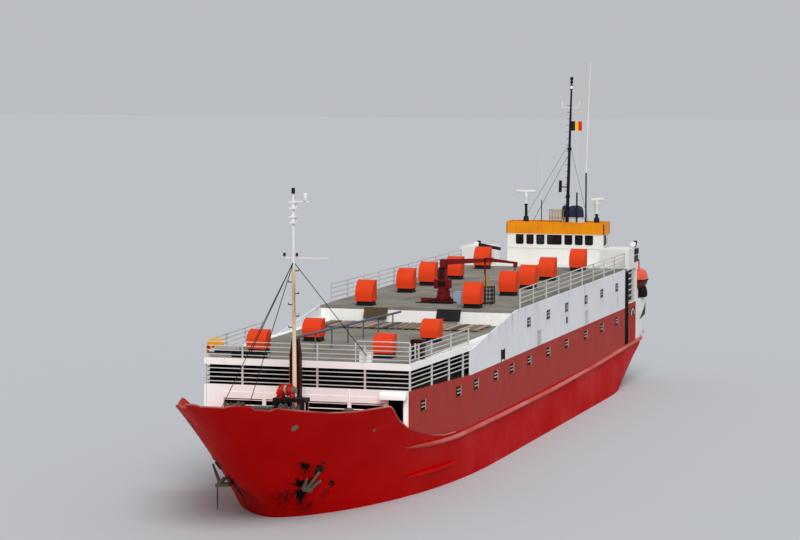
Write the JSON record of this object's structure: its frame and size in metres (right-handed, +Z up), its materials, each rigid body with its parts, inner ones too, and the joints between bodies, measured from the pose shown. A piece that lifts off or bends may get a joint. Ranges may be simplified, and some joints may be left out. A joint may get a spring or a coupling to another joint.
{
  "type": "general cargo vessel, 1:2 scale model",
  "caption": "Small cargo vessel rebuilt for livestock: raked red bow, long plated sides with openings, hooded deck ventilators, knuckle-boom crane, stern bridge and two masts.",
  "frame": {"origin": "amidships on the centreline, at the waterline", "axes": "+X towards the bow, +Y to port, +Z up"},
  "size_m": [37.3662, 6.7397, 13.8338],
  "materials": {
    "hull_red": "semi-gloss, streaked",
    "faded_red": "matt, faded and rust-streaked",
    "white_paint": "semi-gloss, rust-streaked",
    "deck_grey": "matt, worn",
    "rail_grey": "semi-gloss",
    "vent_orange": "semi-gloss",
    "crane_red": "semi-gloss",
    "black_paint": "matt",
    "timber": "weathered",
    "band_yellow": "semi-gloss",
    "blue_cover": "matt",
    "flag_cloth": "matt",
    "winch_red": "semi-gloss",
    "windlass_grey": "matt",
    "anchor_iron": "rusted",
    "flap_brown": "matt",
    "flap_black": "matt",
    "propeller_brass": "brushed",
    "boat_orange": "gloss"
  },
  "bodies": {
    "ship": {"hull": "hull_red", "forecastle": "hull_red", "lower_side_port": "faded_red", "lower_side_starboard": "faded_red", "upper_side_port": "white_paint", "upper_side_starboard": "white_paint", "mid_deck": "deck_grey", "front_wall": "white_paint", "aft_wall": "white_paint", "pen_rails": "rail_grey", "fore_deck": "white_paint", "step_wall": "white_paint", "upper_deck": "deck_grey", "plank_floor": "timber", "fore_rails": "rail_grey", "fence_port": "rail_grey", "fence_starboard": "rail_grey", "ventilator_1": "vent_orange", "ventilator_2": "vent_orange", "ventilator_3": "vent_orange", "ventilator_4": "vent_orange", "ventilator_5": "vent_orange", "ventilator_6": "vent_orange", "ventilator_7": "vent_orange", "ventilator_8": "vent_orange", "ventilator_9": "vent_orange", "ventilator_10": "vent_orange", "ventilator_11": "vent_orange", "ventilator_12": "vent_orange", "ventilator_13": "vent_orange", "ventilator_14": "vent_orange", "crane_pedestal": "crane_red", "boom_rest": "black_paint", "stern_bulwark": "white_paint", "strake_port": "hull_red", "strake_starboard": "hull_red", "aft_house": "white_paint", "wheelhouse": "white_paint", "bridge_roof": "band_yellow", "main_mast": "black_paint", "covered_gear": "blue_cover", "flag": "flag_cloth", "foremast": "white_paint", "mooring_winch": "winch_red", "windlass": "windlass_grey", "anchor_port": "anchor_iron", "anchor_starboard": "anchor_iron"},
    "flap_port": {"flap_port": "flap_black"},
    "flap_starboard": {"flap_starboard": "flap_brown"},
    "crane_column": {"crane_column": "crane_red"},
    "crane_boom": {"crane_boom": "crane_red"},
    "crane_jib": {"crane_jib": "crane_red"},
    "bridge_door_port": {"bridge_door_port": "white_paint"},
    "bridge_door_starboard": {"bridge_door_starboard": "white_paint"},
    "scanner_port": {"scanner_port": "white_paint"},
    "scanner_starboard": {"scanner_starboard": "white_paint"},
    "propeller": {"propeller": "propeller_brass"},
    "rudder": {"rudder": "hull_red"},
    "davit_arm": {"davit_arm": "crane_red"},
    "rescue_boat": {"rescue_boat": "boat_orange"}
  },
  "joints": [
    {"name": "crane_slew", "type": "hinge", "parent": "ship", "child": "crane_column", "pos_m": [-1.9692, 0.3692, 4.6769], "axis": [0, 0, 1], "range_deg": [-180, 180]},
    {"name": "boom_raise", "type": "hinge", "parent": "crane_column", "child": "crane_boom", "pos_m": [-1.9692, 0.3692, 5.6369], "axis": [1, 0, 0], "range_deg": [0, 70]},
    {"name": "jib_fold", "type": "hinge", "parent": "crane_boom", "child": "crane_jib", "pos_m": [-1.9692, 1.8954, 5.7354], "axis": [1, 0, 0], "range_deg": [-25, 60]},
    {"name": "propeller_spin", "type": "hinge", "parent": "ship", "child": "propeller", "pos_m": [-16.6154, 0, -1.2062], "axis": [1, 0, 0], "continuous": true},
    {"name": "rudder_turn", "type": "hinge", "parent": "ship", "child": "rudder", "pos_m": [-17.4277, 0, -0.4923], "axis": [0, 0, 1], "range_deg": [-35, 35]},
    {"name": "flap_port_open", "type": "hinge", "parent": "ship", "child": "flap_port", "pos_m": [-0.1769, 1.0585, 4.2929], "axis": [0, -1, 0], "range_deg": [-28, 85]},
    {"name": "flap_starboard_open", "type": "hinge", "parent": "ship", "child": "flap_starboard", "pos_m": [-0.1769, -1.3046, 4.2929], "axis": [0, -1, 0], "range_deg": [-28, 85]},
    {"name": "door_port_open", "type": "hinge", "parent": "ship", "child": "bridge_door_port", "pos_m": [-18.9412, 1.8511, 4.8738], "axis": [0, 0, -1], "range_deg": [0, 100]},
    {"name": "door_starboard_open", "type": "hinge", "parent": "ship", "child": "bridge_door_starboard", "pos_m": [-18.9412, -1.8511, 4.8738], "axis": [0, 0, 1], "range_deg": [0, 100]},
    {"name": "scanner_port_spin", "type": "hinge", "parent": "ship", "child": "scanner_port", "pos_m": [-18.9046, 1.4966, 6.6215], "axis": [0, 0, 1], "continuous": true},
    {"name": "scanner_starboard_spin", "type": "hinge", "parent": "ship", "child": "scanner_starboard", "pos_m": [-18.9046, -1.2308, 6.8923], "axis": [0, 0, 1], "continuous": true},
    {"name": "davit_swing", "type": "hinge", "parent": "ship", "child": "davit_arm", "pos_m": [-18.9046, 2.6831, 3.0523], "axis": [-1, 0, 0], "range_deg": [0, 50]},
    {"name": "boat_level", "type": "hinge", "parent": "davit_arm", "child": "rescue_boat", "pos_m": [-18.9046, 3.1262, 4.5046], "axis": [-1, 0, 0], "range_deg": [-50, 0]}
  ],
  "couplings": [
    {"joint": "boat_level", "follows": "davit_swing", "ratio": -1}
  ]
}
